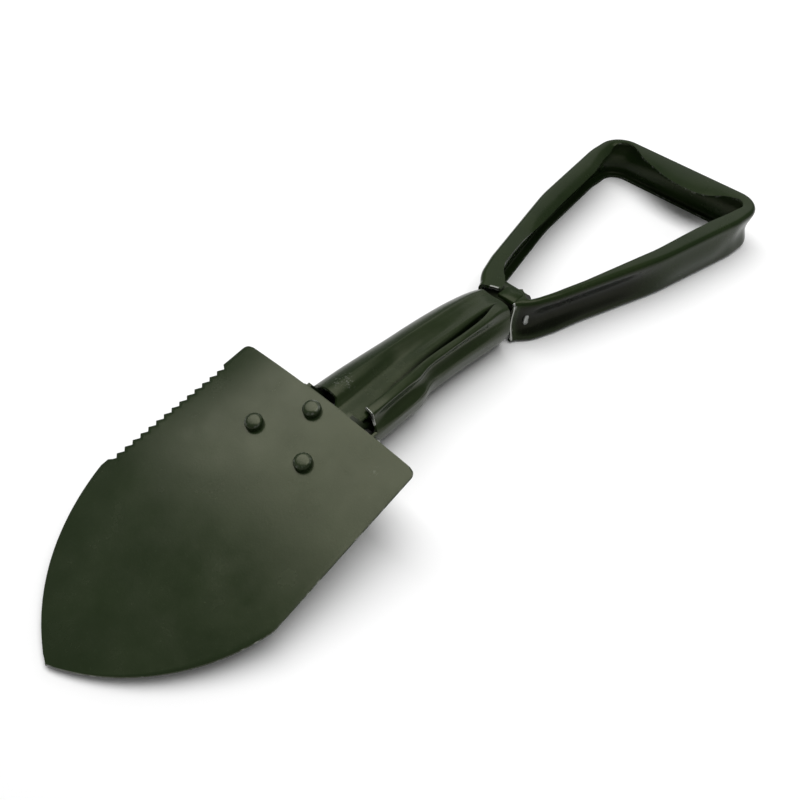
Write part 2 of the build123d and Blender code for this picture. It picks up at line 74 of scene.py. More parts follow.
# ------------------------------------------------------------------ blade sizes
BLADE_SHEET = 1.8
REAR_Y = HINGE_Y - 8.0
REAR_Z = blade_high[2] + 0.03
BLADE_TILT = atan2(REAR_Z - BLADE_SHEET, REAR_Y - blade_low[1])
BLADE_LENGTH = hypot(REAR_Z - BLADE_SHEET, REAR_Y - blade_low[1])
BLADE_REAR_HALF = 49.8
BLADE_SHOULDER_HALF = blade_high[0]
BLADE_STRAIGHT = 79.0
BLADE_SIDE_BULGE = 9.7
BLADE_CORNER = 3.0
TIP_ROUND = 2.5
TIP_RISE = 1.0
BLADE_SKEW = 0.004          # the blade sits a little askew on its bracket
TOOTH_COUNT = 15
TOOTH_PITCH = 4.1
TOOTH_DEPTH = 2.4
TOOTH_START = 14.0
TOOTH_ROOT = 0.35
TOOTH_INSET = 0.6
CROSS_RADIUS_REAR = 340.0
CROSS_RADIUS_LEFT = 620.0
CROSS_RADIUS_TIP = 300.0
RIVET_SPOTS = ((0.0, 7.0), (14.6, 26.0), (-14.6, 26.0))
RIVET_RADIUS = 3.9
RIVET_HEIGHT = 3.3
RIVET_TAIL_RADIUS = 3.8
RIVET_TAIL_HEIGHT = 1.4
RIVET_TAIL_SEAT = 4.15       # from a head's seat down to its tail's

# ------------------------------------------------------------------ shaft sizes
HINGE_EAR_HALF = 14.4        # beside the hinge, sheet outside this half width is an ear
SHAFT_SHEET = 1.6
EAR_RADIUS = 6.5
EAR_TOP = 4.4               # ears end this far above the hinge pin
LEFT_SETBACK = 8.0
RIGHT_SETBACK = 13.0
TONGUE_SETBACK = 3.5
BELLY_SETBACK = 22.0
SHAFT_LIP = 107.3
MOUTH_RADIUS = hypot(PIN_Y - NOSE_Y, PIN_Z) + 0.8
MOUTH_STOP = 106.8
LIP_HEIGHT = 24.0
# shaft section by distance behind the blade's rear edge
SHAFT_RUN = (0, 12, 24, 36, 43, 50, 62, 76, 90, 102, 109)
SHAFT_LEFT = (18.6, 18.6, 18.5, 18.1, 17.9, 17.7, 17.5, 17.1, 16.0, 14.8, 14.2)
SHAFT_RIGHT = (18.4, 18.2, 17.8, 17.2, 16.6, 14.3, 13.8, 14.0, 14.6, 14.8, 14.4)
SHAFT_TOP = (30.0, 30.0, 29.9, 29.7, 29.5, 29.3, 29.0, 28.5, 28.0, 26.6, 24.6)
SHAFT_BOTTOM = (2.4, 2.4, 2.2, 2.1, 1.9, 1.7, 1.4, 1.2, 0.8, 0.5, 0.4)
CREASE_X = (2.2, 1.6, 0.9, 0.1, -0.5, -0.3, 0.3, 1.0, 1.4, 1.8, 2.0)
CREASE_DEPTH = (3.6, 3.6, 3.5, 3.2, 2.8, 2.4, 1.8, 1.0, 0.5, 0.1, 0.0)
SEAM_X = (10.2, 10.1, 9.6, 8.6, 8.0, 7.2, 6.7, 6.7, 6.2, 5.4, 5.0)
SEAM_STEP = (2.1, 2.1, 2.0, 1.7, 1.3, 0.9, 0.6, 0.5, 0.4, 0.1, 0.0)
SEAM_GAP = (0.2, 0.3, 0.6, 0.9, 1.1, 1.3, 1.9, 2.6, 2.6, 0.5, 0.0)
SEAM_DIVE = (0.0, 0.4, 1.2, 2.0, 2.4, 2.8, 3.4, 4.2, 4.0, 0.3, 0.0)
VALLEY = (0.0, 0.5, 2.2, 2.2, 1.4, 0.8, 1.0, 1.0, 0.7, 0.2, 0.0)

# ------------------------------------------------------------------ handle sizes
HANDLE_SHEET = 1.6
NECK_HALF = 11.0
PIN_HALF = 16.9
SHOULDER_HALF = 22.0
SHOULDER_RUN = 12.0
KNEE_HALF = 39.0
KNEE_RUN = 72.0
LEG_RUN = 126.0
GRIP_CORNER = 14.0
GRIP_PROUD = 0.8            # the pressed grip bulges this far past the CAD's
EDGE_ROUND = 2.6
TAB_LENGTH = 9.2
TAB_ROUND = 2.2
TAB_SHEET = 1.9
TAB_PROUD = 0.3
PIN_HEAD_RADIUS = 4.2
PIN_SHANK_RADIUS = 3.0
PIN_PROUD = 0.8              # added to each half of the CAD pin's length
HANDLE_SKEW = 0.038         # the handle sits a little askew on its pin


# ------------------------------------------------------------------ numbers and curves
def smooth_table(where, at, values):
    """Smooth curve through (at, values), read at where, with no overshoot between equal values."""
    at, values = np.asarray(at, float), np.asarray(values, float)
    slopes = np.gradient(values, at)
    where = np.clip(np.asarray(where, float), at[0], at[-1])
    i = np.clip(np.searchsorted(at, where, side="right") - 1, 0, len(at) - 2)
    run = at[i + 1] - at[i]
    t = (where - at[i]) / run
    keep = (1 + 2 * t) * (1 - t) ** 2 * values[i] + t * t * (3 - 2 * t) * values[i + 1]
    return keep + t * (1 - t) ** 2 * run * slopes[i] - t * t * (1 - t) * run * slopes[i + 1]


def smoothstep(x, low, high):
    """0 below low, 1 above high, and a smooth step between."""
    t = np.clip((np.asarray(x, float) - low) / (high - low), 0, 1)
    return t * t * (3 - 2 * t)


def curve_through(points, per_span):
    """Points on a Catmull-Rom curve through the given points, per_span to a span."""
    points = np.asarray(points, float)
    padded = np.vstack([2 * points[0] - points[1], points, 2 * points[-1] - points[-2]])
    out = []
    for a, b, c, d in zip(padded, padded[1:], padded[2:], padded[3:]):
        for step in range(per_span):
            t = step / per_span
            out.append(
                0.5 * (2 * b + (c - a) * t + (2 * a - 5 * b + 4 * c - d) * t**2
                       + (3 * b - a - 3 * c + d) * t**3)
            )
    out.append(points[-1])
    return np.array(out)


def rounded_path(points, radii, arc_steps, spacing):
    """Path through points with the inner corners rounded by arcs, its straights cut to spacing."""
    points = [np.array(p, float) for p in points]
    path = [points[0]]
    for i in range(1, len(points) - 1):
        before, corner, after = points[i - 1], points[i], points[i + 1]
        a = (before - corner) / np.linalg.norm(before - corner)
        b = (after - corner) / np.linalg.norm(after - corner)
        half = 0.5 * np.arccos(np.clip(a @ b, -1, 1))
        radius = radii[i - 1]
        centre = corner + (a + b) / np.linalg.norm(a + b) * radius / sin(half)
        start, end = corner + a * radius / np.tan(half), corner + b * radius / np.tan(half)
        first = atan2(*(start - centre)[::-1])
        turn = (atan2(*(end - centre)[::-1]) - first + pi) % (2 * pi) - pi
        for step in range(arc_steps + 1):
            angle = first + turn * step / arc_steps
            path.append(centre + radius * np.array([cos(angle), sin(angle)]))
    path.append(points[-1])
    dense = [path[0]]
    for a, b in zip(path, path[1:]):
        cuts = max(1, round(np.linalg.norm(b - a) / spacing))
        dense.extend(a + (b - a) * (k + 1) / cuts for k in range(cuts))
    return np.array(dense)


def surface_normals(grid):
    """Unit normals of a grid of points, from its rows and columns."""
    along, across = np.gradient(grid, axis=0), np.gradient(grid, axis=1)
    normals = np.cross(across, along)
    length = np.linalg.norm(normals, axis=2, keepdims=True)
    return normals / np.maximum(length, 1e-9)


# ------------------------------------------------------------------ meshes
def make_mesh(name, points, faces, material, wear_and_shade=None, crease=35.0):
    """Object from points in millimetres, with an optional value of wear and painted shade at each
    point.
    """
    mesh = bpy.data.meshes.new(name)
    mesh.from_pydata((np.asarray(points) * MM).tolist(), [], faces)
    mesh.validate()
    if wear_and_shade is not None:
        mesh.attributes.new("wear_and_shade", "FLOAT", "POINT").data.foreach_set(
            "value", np.asarray(wear_and_shade, np.float32)
        )
    mesh.materials.append(material)
    mesh.polygons.foreach_set("use_smooth", [True] * len(mesh.polygons))
    mesh.set_sharp_from_angle(angle=radians(crease))
    obj = bpy.data.objects.new(name, mesh)
    bpy.context.scene.collection.objects.link(obj)
    return obj


def sheet_shell(grid, inner, swell=0.3, rim_wear=None):
    """Closed sheet between two matching grids, with a rounded rim: points, faces and wear."""
    rows, columns = grid.shape[:2]
    count = rows * columns
    index = np.arange(count).reshape(rows, columns)
    ring = np.concatenate(
        [index[0, :-1], index[:-1, -1], index[-1, :0:-1], index[:0:-1, 0]]
    )
    outer_points, inner_points = grid.reshape(-1, 3), inner.reshape(-1, 3)
    middle = (outer_points[ring] + inner_points[ring]) / 2
    step = np.roll(middle, -1, 0) - np.roll(middle, 1, 0)
    out = np.cross(step, outer_points[ring] - inner_points[ring])
    out /= np.maximum(np.linalg.norm(out, axis=1, keepdims=True), 1e-9)
    centre = index[rows // 2, columns // 2]
    if np.sum(out * (middle - outer_points[centre])) < 0:
        out = -out
    thickness = np.linalg.norm(outer_points[ring] - inner_points[ring], axis=1, keepdims=True)
    rim = middle + out * thickness * swell
    points = np.vstack([outer_points, inner_points, rim])
    faces = []
    for i in range(rows - 1):
        for j in range(columns - 1):
            a, b, c, d = index[i, j], index[i, j + 1], index[i + 1, j + 1], index[i + 1, j]
            faces.append((int(a), int(b), int(c), int(d)))
            faces.append((int(d + count), int(c + count), int(b + count), int(a + count)))
    for k, a in enumerate(ring):
        b, r = ring[(k + 1) % len(ring)], 2 * count + k
        s = 2 * count + (k + 1) % len(ring)
        faces.append((int(b), int(a), r, s))
        faces.append((s, r, int(a + count), int(b + count)))
    wear_and_shade = np.zeros(len(points))
    ring_wear = np.ones(len(ring)) if rim_wear is None else rim_wear.reshape(-1)[ring]
    wear_and_shade[ring] = 0.6 * ring_wear
    wear_and_shade[ring + count] = 0.5 * ring_wear
    wear_and_shade[2 * count:] = ring_wear
    return points, faces, wear_and_shade


def turned(name, profile, matrix, material, segments=40, wear_band=None):
    """Solid of revolution: profile is (radius, height) from axis to axis, placed by a matrix."""
    points, faces = [], []
    for radius, height in profile[1:-1]:
        for k in range(segments):
            angle = 2 * pi * k / segments
            points.append((radius * cos(angle), radius * sin(angle), height))
    for ring in range(len(profile) - 3):
        for k in range(segments):
            a, b = ring * segments + k, ring * segments + (k + 1) % segments
            faces.append((a, b, b + segments, a + segments))
    bottom, top = len(points), len(points) + 1
    points += [(0, 0, profile[0][1]), (0, 0, profile[-1][1])]
    last = (len(profile) - 3) * segments
    for k in range(segments):
        faces.append(((k + 1) % segments, k, bottom))
        faces.append((last + k, last + (k + 1) % segments, top))
    wear_and_shade = None
    if wear_band is not None:
        wear_and_shade = [wear_band[i // segments + 1] for i in range(len(points) - 2)]
        wear_and_shade += [wear_band[0], wear_band[-1]]
    placed = [tuple(matrix @ Vector(p)) for p in points]
    return make_mesh(name, placed, faces, material, wear_and_shade, crease=50)


# ------------------------------------------------------------------ materials
class Nodes:
    """Short way to build a material's node tree."""

    def __init__(self, name):
        self.material = bpy.data.materials.new(name)
        self.material.use_nodes = True
        self.tree = self.material.node_tree
        self.shader = self.tree.nodes["Principled BSDF"]
        self.place = self.add("ShaderNodeTexCoord").outputs["Object"]

    def add(self, kind, **inputs):
        node = self.tree.nodes.new(kind)
        for key, value in inputs.items():
            self.feed(node.inputs[key.replace("_", " ")], value)
        return node

    def feed(self, socket, value):
        if isinstance(value, bpy.types.NodeSocket):
            self.tree.links.new(value, socket)
        else:
            socket.default_value = value

    def noise(self, scale, detail=4.0, roughness=0.55, stretch=None):
        where = self.place
        if stretch is not None:
            mapping = self.add("ShaderNodeMapping", Vector=where)
            mapping.inputs["Scale"].default_value = stretch
            where = mapping.outputs[0]
        return self.add(
            "ShaderNodeTexNoise", Vector=where, Scale=scale, Detail=detail, Roughness=roughness
        ).outputs["Fac"]

    def band(self, value, low, high, out_low=0.0, out_high=1.0):
        """Maps low..high to out_low..out_high, held at the ends."""
        node = self.add("ShaderNodeMapRange", Value=value)
        for socket, number in zip(node.inputs[1:5], (low, high, out_low, out_high)):
            socket.default_value = number
        return node.outputs[0]

    def maths(self, operation, a, b):
        node = self.tree.nodes.new("ShaderNodeMath")
        node.operation = operation
        node.use_clamp = True
        self.feed(node.inputs[0], a)
        self.feed(node.inputs[1], b)
        return node.outputs[0]

    def mix(self, factor, a, b):
        node = self.tree.nodes.new("ShaderNodeMix")
        node.data_type = "RGBA"
        self.feed(node.inputs[0], factor)
        self.feed(node.inputs[6], a)
        self.feed(node.inputs[7], b)
        return node.outputs[2]

    def attribute(self, name):
        node = self.tree.nodes.new("ShaderNodeAttribute")
        node.attribute_name = name
        return node.outputs["Fac"]

    def near(self, spot, reach):
        """1 at a spot of the row frame (mm), falling to 0 at reach."""
        node = self.tree.nodes.new("ShaderNodeVectorMath")
        node.operation = "DISTANCE"
        self.feed(node.inputs[0], self.place)
        node.inputs[1].default_value = [c * MM for c in spot]
        return self.band(node.outputs["Value"], 0.0, reach * MM, 1.0, 0.0)

    def bump(self, height, strength, distance):
        node = self.add("ShaderNodeBump", Height=height, Strength=strength, Distance=distance)
        self.tree.links.new(node.outputs[0], self.shader.inputs["Normal"])

    def surface(self, **inputs):
        for key, value in inputs.items():
            self.feed(self.shader.inputs[key.replace("_", " ")], value)
        return self.material


PAINT_GRAIN = 0.05
SHEEN_TINT = (1.0, 1.0, 0.74, 1)
PAINTED_SHADE_COLOUR = (0.0015, 0.003, 0.001, 1)
RUBBED_DARK = (0.30, 0.31, 0.29, 1)
RUBBED_LIGHT = (0.52, 0.53, 0.50, 1)


def painted(name, dark, light, rough, worn_at=(), edge_wear=0.5, gloss=0.5):
    """Satin paint on steel: mottled colour, orange-peel bump, bare where rubbed, painted shade in
    hollows.
    """
    n = Nodes(name)
    patches = n.band(n.noise(38.0, 5.0), 0.35, 0.68)
    colour = n.mix(patches, (*dark, 1), (*light, 1))
    wear_and_shade_fac = n.attribute("wear_and_shade")
    # Painted shade: a negative wear value darkens the colour towards near black.
    colour = n.mix(n.band(wear_and_shade_fac, -0.9, -0.05, 1.0, 0.0), colour, PAINTED_SHADE_COLOUR)
    dust = n.band(n.noise(900.0, 3.0, 0.7), 0.60, 0.78, 0.0, 0.35)
    colour = n.mix(dust, colour, (*[min(1.0, c * 1.9 + 0.01) for c in light], 1))
    chips = n.band(n.noise(260.0, 6.0, 0.7), 0.52, 0.62)
    rubbed = n.maths("MULTIPLY", n.band(wear_and_shade_fac, 0.5, 0.95, 0.0, edge_wear), chips)
    rubbed = n.maths("MAXIMUM", rubbed, n.band(wear_and_shade_fac, 1.1, 1.6))
    for spot, reach, amount in worn_at:
        flecks = n.band(n.noise(700.0, 5.0, 0.75), 0.55, 0.62, 0.0, amount)
        rubbed = n.maths("ADD", rubbed, n.maths("MULTIPLY", n.near(spot, reach), flecks))
    bare = n.mix(n.noise(1500.0, 2.0), RUBBED_DARK, RUBBED_LIGHT)
    smear = n.band(n.noise(55.0, 6.0, 0.6), 0.3, 0.75, rough - 0.07, rough + 0.08)
    n.bump(n.noise(1300.0, 2.0, 0.6), PAINT_GRAIN, 0.0004)
    return n.surface(
        Base_Color=n.mix(rubbed, colour, bare),
        Metallic=n.maths("MULTIPLY", rubbed, 0.9),
        Roughness=smear,
        Specular_IOR_Level=gloss,
        Specular_Tint=SHEEN_TINT,
    )


def bare_steel(name, dark, light, rough, streak=(1, 1, 1)):
    """Bare or plated steel with fine streaks and stains."""
    n = Nodes(name)
    streaks = n.noise(420.0, 5.0, 0.7, stretch=streak)
    stains = n.band(n.noise(60.0, 4.0), 0.4, 0.7)
    colour = n.mix(streaks, (*dark, 1), (*light, 1))
    colour = n.mix(n.maths("MULTIPLY", stains, 0.35), colour, (*[c * 0.55 for c in dark], 1))
    n.bump(streaks, 0.12, 0.0003)
    return n.surface(
        Base_Color=colour,
        Metallic=1.0,
        Roughness=n.band(streaks, 0.3, 0.7, rough - 0.08, rough + 0.12),
    )


shaft_wear_spot = (-6.0, REAR_Y + LEFT_SETBACK + 8.0, 30.0)
blade_wear_spot = (38.0, REAR_Y - 10.0, 33.0)
blade_paint = painted(
    "blade_paint", dark=(0.0095, 0.018, 0.0060), light=(0.0125, 0.022, 0.0078), rough=0.24,
    worn_at=((blade_wear_spot, 4.0, 0.2),), edge_wear=0.7, gloss=0.31,
)
shaft_paint = painted(
    "shaft_paint", dark=(0.0085, 0.0165, 0.0048), light=(0.012, 0.021, 0.0062), rough=0.24,
    worn_at=((shaft_wear_spot, 6.0, 0.5),), edge_wear=0.45, gloss=0.26,
)
handle_paint = painted(
    "handle_paint", dark=(0.009, 0.0175, 0.0053), light=(0.013, 0.0225, 0.0068), rough=0.25,
    edge_wear=0.3, gloss=0.13,
)
bracket_paint = painted(
    "bracket_paint", dark=(0.010, 0.018, 0.006), light=(0.014, 0.023, 0.009), rough=0.40,
    edge_wear=0.6, gloss=0.3,
)
rivet_paint = painted(
    "rivet_paint", dark=(0.010, 0.018, 0.0062), light=(0.013, 0.022, 0.008), rough=0.28,
    edge_wear=0.5, gloss=0.34,
)
zinc_steel = bare_steel("zinc_steel", (0.20, 0.21, 0.20), (0.42, 0.43, 0.41), 0.42)
plain_steel = bare_steel("plain_steel", (0.14, 0.14, 0.135), (0.26, 0.26, 0.25), 0.45, (1, 0.1, 1))
hardened_steel = bare_steel("hardened_steel", (0.07, 0.07, 0.075), (0.15, 0.15, 0.16), 0.38)
spring_steel = bare_steel("spring_steel", (0.10, 0.10, 0.10), (0.22, 0.22, 0.21), 0.33)

SLOT_MATERIALS = {
    "blade_paint": blade_paint,
    "shaft_paint": shaft_paint,
    "handle_paint": handle_paint,
    "bracket_paint": bracket_paint,
    "rivet_paint": rivet_paint,
    "zinc_steel": zinc_steel,
    "plain_steel": plain_steel,
    "hardened_steel": hardened_steel,
    "spring_steel": spring_steel,
}
NODE_SLOTS = {
    "hinge_bracket": "bracket_paint",
    "lock_cam": "hardened_steel",
    "hinge_pin": "zinc_steel",
    "hinge_spacers": "zinc_steel",
    "front_guide": "plain_steel",
    "rear_guide": "plain_steel",
    "lock_spring": "spring_steel",
    "lock_bar": "plain_steel",
    "lock_nose": "hardened_steel",
    "nose_rivet": "zinc_steel",
    "spring_collar": "plain_steel",
    "collar_pin": "zinc_steel",
    "bar_yoke": "bracket_paint",
    "yoke_rivets": "zinc_steel",
    "handle_washers": "zinc_steel",
}
for node, slot in NODE_SLOTS.items():
    node_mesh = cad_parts[node].data
    node_mesh.materials.clear()
    node_mesh.materials.append(SLOT_MATERIALS[slot])


def settle(obj, body, slot, *nodes):
    """The piece rides on a body and stands for CAD nodes, which are hidden; slot is not used."""
    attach(obj, body)
    if nodes:
        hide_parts(*nodes)


# ------------------------------------------------------------------ blade
def edge_circle():
    """Centre (x, along) and radius of the arc of the blade's curved edge."""
    run_x, run_y = BLADE_SHOULDER_HALF, BLADE_LENGTH - BLADE_STRAIGHT
    chord = hypot(run_x, run_y)
    radius = (chord**2 / 4 + BLADE_SIDE_BULGE**2) / (2 * BLADE_SIDE_BULGE)
    inward = radius - BLADE_SIDE_BULGE
    middle_x, middle_y = run_x / 2, BLADE_STRAIGHT + run_y / 2
    return middle_x - inward * run_y / chord, middle_y - inward * run_x / chord, radius


def plain_half(along):
    """Half width of the blade without its teeth."""
    centre_x, centre_y, radius = edge_circle()
    if along > BLADE_STRAIGHT:
        half = centre_x + sqrt(max(radius**2 - (along - centre_y) ** 2, 0))
    else:
        lean = (BLADE_SHOULDER_HALF - BLADE_REAR_HALF) / BLADE_STRAIGHT
        half = BLADE_REAR_HALF + lean * along
    if along < BLADE_CORNER:
        half -= BLADE_CORNER - sqrt(BLADE_CORNER**2 - (BLADE_CORNER - along) ** 2)
    if along > BLADE_LENGTH - TIP_ROUND:
        past = (along - BLADE_LENGTH + TIP_ROUND) / TIP_ROUND
        half = max(half, 0.0) * sqrt(max(1 - past**2, 0)) + 0.4 * (1 - past)
    return max(half, 0.05)


def tooth_cut(along):
    """How deep the serration cuts into the left edge."""
    place = (along - TOOTH_START) / TOOTH_PITCH
    if place <= 0 or place >= TOOTH_COUNT:
        return 0.0
    share = place % 1.0
    start = 0.0 if place < 1 else TOOTH_INSET
    if share < TOOTH_ROOT:
        return start + (TOOTH_DEPTH - start) * share / TOOTH_ROOT
    return TOOTH_DEPTH + (TOOTH_INSET - TOOTH_DEPTH) * (share - TOOTH_ROOT) / (1 - TOOTH_ROOT)


def blade_rows():
    """Distances from the rear edge of the blade's rows, close together at teeth and ends."""
    rows = list(np.linspace(0, BLADE_CORNER, 7)) + list(np.linspace(4.5, TOOTH_START - 1.5, 5))
    for tooth in range(TOOTH_COUNT):
        start = TOOTH_START + tooth * TOOTH_PITCH
        shares = (0.001, TOOTH_ROOT / 2, TOOTH_ROOT, (1 + TOOTH_ROOT) / 2)
        rows += [start + share * TOOTH_PITCH for share in shares]
    teeth_end = TOOTH_START + TOOTH_COUNT * TOOTH_PITCH
    rows += [teeth_end, BLADE_STRAIGHT]
    rows += list(np.linspace(BLADE_STRAIGHT, BLADE_LENGTH - TIP_ROUND, 46))[1:]
    rows += [BLADE_LENGTH - TIP_ROUND * (1 - share) for share in (0.3, 0.55, 0.75, 0.9, 1.0)]
    return rows


def blade_back(x, along):
    """Height of the blade's back over its chord plane: arched across, more so by the tip."""
    if x < 0:
        radius = CROSS_RADIUS_REAR
        radius += (CROSS_RADIUS_LEFT - CROSS_RADIUS_REAR) * smoothstep(along, 5.0, BLADE_STRAIGHT)
    else:
        tipward = smoothstep(along, 60.0, BLADE_LENGTH)
        radius = CROSS_RADIUS_REAR + (CROSS_RADIUS_TIP - CROSS_RADIUS_REAR) * tipward
    rise = TIP_RISE * smoothstep(along, 90.0, BLADE_LENGTH)
    return rise - x * x / (2 * radius)


def to_row(x, along, above):
    """Row-frame point of a place on the blade."""
    y = REAR_Y - along * cos(BLADE_TILT) - above * sin(BLADE_TILT)
    return x, y, REAR_Z - along * sin(BLADE_TILT) + above * cos(BLADE_TILT)


def make_blade():
    """Serrated sheet-steel blade with rolled-over, worn edges."""
    columns = np.sin(np.linspace(-pi / 2, pi / 2, 61))
    columns = 0.55 * columns + 0.45 * np.linspace(-1, 1, 61)
    top, bottom = [], []
    for along in blade_rows():
        left, right = -plain_half(along) + tooth_cut(along), plain_half(along)
        xs = left + (right - left) * (columns + 1) / 2 + BLADE_SKEW * along
        edge = 0.35 * smoothstep(np.abs(columns), 0.975, 1.0)
        backs = [blade_back(x, along) for x in xs]
        top.append([to_row(x, along, b - e) for x, b, e in zip(xs, backs, edge)])
        bottom.append(
            [to_row(x, along, b - BLADE_SHEET + e) for x, b, e in zip(xs, backs, edge)]
        )
    points, faces, wear_and_shade = sheet_shell(np.array(top), np.array(bottom), swell=0.16)
    blade = make_mesh("blade_sheet", points, faces, blade_paint, wear_and_shade)
    settle(blade, "blade", "blade_paint", "blade")


def make_blade_rivets():
    """Three rivets: chamfered heads on the blade's back, low tails under the bracket."""
    radius, height = RIVET_RADIUS, RIVET_HEIGHT
    head = (
        (0, -0.6), (radius - 0.3, -0.6), (radius, -0.3), (radius, 0.4), (radius, height - 1.3),
        (radius - 0.35, height - 0.6), (radius - 1.1, height - 0.12), (radius - 1.8, height),
        (0, height),
    )
    head_wear = (0, 0, 0.1, 0.1, 0.3, 0.75, 0.6, 0.2, 0.1)
    radius, height = RIVET_TAIL_RADIUS, RIVET_TAIL_HEIGHT
    tail = (
        (0, -height), (radius - 1.4, -height), (radius - 0.5, 0.35 - height),
        (radius, 0.75 - height), (radius, 0.4), (0, 0.4),
    )
    parts = []
    for x, along in RIVET_SPOTS:
        seat = blade_back(x, along) - 0.1
        tail_seat = seat - RIVET_TAIL_SEAT
        for profile, above, wear_and_shade in ((head, seat, head_wear), (tail, tail_seat, None)):
            place = Matrix.Translation(to_row(x, along, above)) @ Matrix.Rotation(BLADE_TILT, 4, "X")
            parts.append(turned("rivet_part", profile, place, rivet_paint, wear_band=wear_and_shade))
    rivets = join(parts, "rivet_heads")
    settle(rivets, "blade", "rivet_paint", "blade_rivets")


def join(objects, name):
    """Joins mesh objects into the first and renames it."""
    with bpy.context.temp_override(
        active_object=objects[0], selected_objects=objects, selected_editable_objects=objects
    ):
        bpy.ops.object.join()
    objects[0].name = name
    objects[0].data.name = name
    return objects[0]


# ------------------------------------------------------------------ shaft
def shaft_section(back):
    """Control points (x, z) of the rolled sheet, from under the seam round to the seam's edge."""
    left, right, top, bottom, crease_x, crease, seam, step, gap, dive, valley = (
        float(smooth_table(back, SHAFT_RUN, values))
        for values in (
            SHAFT_LEFT, SHAFT_RIGHT, SHAFT_TOP, SHAFT_BOTTOM, CREASE_X, CREASE_DEPTH, SEAM_X,
            SEAM_STEP, SEAM_GAP, SEAM_DIVE, VALLEY,
        )
    )
    tongue = top - 0.2 - crease
    lobe = -left * 0.42
    edge = tongue + step
    return (
        (seam + 2.2, tongue - 0.4 - 0.1 * step - dive),
        (seam + 0.5, tongue - 0.15 - 0.5 * dive),
        ((seam + crease_x) / 2 + 1.2, tongue + 0.05),
        (crease_x + 0.6, tongue - 0.05),
        (crease_x - 1.6, tongue + 0.35 * crease - 0.2),
        (crease_x - 4.6, top - 0.25 - 0.08 * crease),
        (lobe, top),
        (-left + 4.2, top - 3.2),
        (-left + 1.0, top - 8.2),
        (-left, (top + bottom) / 2 + 0.4),
        (-left + 1.0, bottom + 8.0),
        (-left + 4.4, bottom + 3.0),
        (-left * 0.45, bottom + 0.25),
        (0.0, bottom),
        (right * 0.45, bottom + 0.35),
        (right - 4.4, bottom + 3.4),
        (right - 1.2, bottom + 8.2),
        (right, (top + bottom) / 2 - 0.2),
        (right - 0.15, (top + bottom) / 2 + 3.0),
        (right - 1.3 - valley, (top + bottom) / 2 + 6.0),
        (right - 2.6 - 0.6 * valley, (top + bottom) / 2 + 8.2),
        ((right + seam + gap) / 2 + 0.4, edge - 1.3 + 0.3 * valley),
        (seam + gap + 1.5, edge - 0.1 + 0.15 * valley),
        (seam + gap, edge + 0.05),
    )


def shaft_front(part, x, z):
    """Distance behind the blade's rear edge where the sheet starts. Part counts control points."""
    drop = z - HINGE_Z
    if abs(drop) < EAR_RADIUS and drop < EAR_TOP and abs(x) > HINGE_EAR_HALF:
        return HINGE_Y - REAR_Y - sqrt(EAR_RADIUS**2 - drop**2)
    if part < 3.3:
        return TONGUE_SETBACK
    if part < 4.6:
        return TONGUE_SETBACK + (LEFT_SETBACK - TONGUE_SETBACK) * (part - 3.3) / 1.3
    if part < 9.5 or (part < 11.5 and drop > 0):
        return LEFT_SETBACK
    if z < HINGE_Z and abs(x) < HINGE_EAR_HALF:
        return BELLY_SETBACK
    if part < 14 or z < HINGE_Z:
        return LEFT_SETBACK
    lift = smoothstep(z, HINGE_Z + 2.0, HINGE_Z + 9.0)
    return RIGHT_SETBACK - 1.2 * (1 - float(lift))


def shaft_rear(z):
    """Distance behind the blade's rear edge where the sheet ends: coped round the handle pin."""
    if z > LIP_HEIGHT:
        return SHAFT_LIP
    reach = sqrt(max(MOUTH_RADIUS**2 - (z - PIN_Z) ** 2, 0))
    return min(MOUTH_STOP, PIN_Y - REAR_Y - reach)


def make_shaft():
    """Shaft rolled from one sheet: left lobe, creased flat strip, and a lapped right lobe."""
    per_span, rows = 7, 96
    rest = curve_through(shaft_section(12.0), per_span)
    end = curve_through(shaft_section(SHAFT_LIP), per_span)
    shares = np.linspace(0, 1, rows)
    shares = shares - 0.06 * np.sin(2 * pi * shares)
    grid = np.zeros((rows, len(rest), 3))
    starts = [shaft_front(j / per_span, x, z) for j, (x, z) in enumerate(rest)]
    ends = [shaft_rear(z) for x, z in end]
    for i, share in enumerate(shares):
        for j, (start, stop) in enumerate(zip(starts, ends)):
            grid[i, j, 1] = start + (stop - start) * share
    backs = np.linspace(0, SHAFT_LIP, 220)
    sections = np.array([curve_through(shaft_section(back), per_span) for back in backs])
    for j in range(len(rest)):
        grid[:, j, 0] = np.interp(grid[:, j, 1], backs, sections[:, j, 0])
        grid[:, j, 2] = np.interp(grid[:, j, 1], backs, sections[:, j, 1])
    grid[:, :, 1] += REAR_Y
    normals = surface_normals(grid)
    left_side = len(rest) * 9 // 23
    inward = 1.0 if normals[rows // 2, left_side, 0] > 0 else -1.0
    inner = grid + normals * inward * SHAFT_SHEET
    rim = np.ones(grid.shape[:2])
    rim[0, 19 * per_span:] = BARE
    points, faces, wear_and_shade = sheet_shell(grid, inner, swell=0.25, rim_wear=rim)
    # Painted shadow: the sheet's edge under the seam is darkened through negative wear values, from
    # about 20 mm behind the blade's rear edge.
    spans = np.arange(len(rest)) / per_span
    seam_shadow_mask = smoothstep(grid[:, :, 1] - REAR_Y, 20, 34) * (1 - smoothstep(spans, 1.1, 1.9))
    wear_and_shade[:seam_shadow_mask.size] -= seam_shadow_mask.reshape(-1)
    shaft = make_mesh("shaft_sheet", points, faces, shaft_paint, wear_and_shade)
    settle(shaft, "shaft", "shaft_paint", "shaft_tube")


